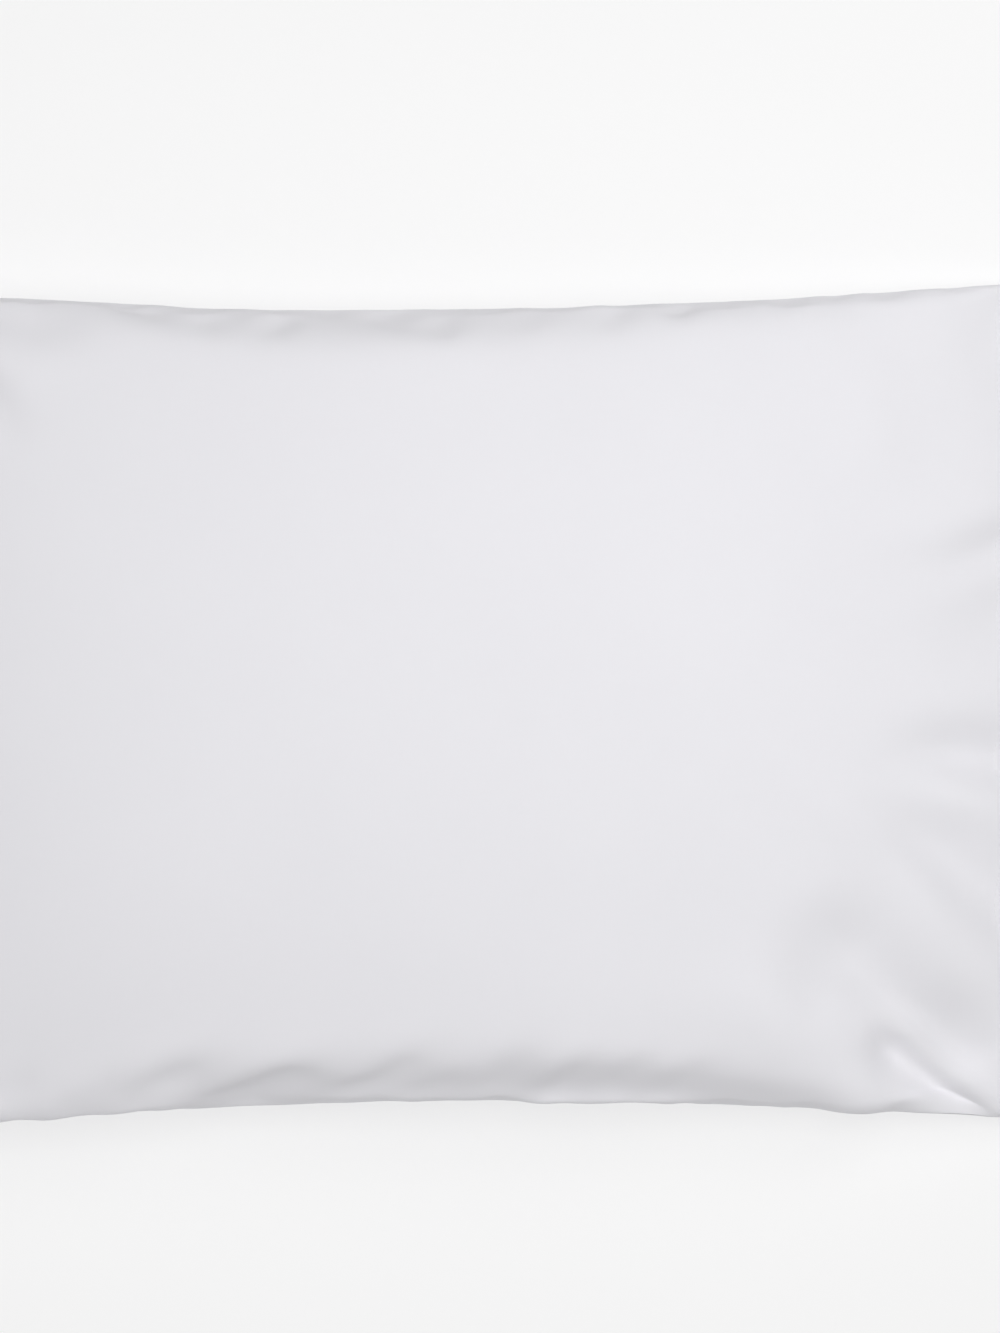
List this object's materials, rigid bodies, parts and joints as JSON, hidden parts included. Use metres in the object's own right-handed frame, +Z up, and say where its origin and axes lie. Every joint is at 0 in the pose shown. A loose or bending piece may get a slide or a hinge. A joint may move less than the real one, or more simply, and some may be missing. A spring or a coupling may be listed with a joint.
{
  "type": "pillowcase",
  "caption": "Plain white cotton pillowcase with a pillow in it, lying on its back, crowned and creased towards its open end",
  "frame": {"origin": "middle of the underside, on the surface that the pillowcase rests on", "axes": "+X runs along the case towards its open end, +Y across it, +Z up out of the face that shows"},
  "size_m": [0.736, 0.495, 0.1322],
  "materials": {
    "case_cotton": "plain white cotton percale, matt and slightly cool, fine smooth weave"
  },
  "bodies": {
    "root": {"pillowcase": "case_cotton"}
  },
  "joints": []
}
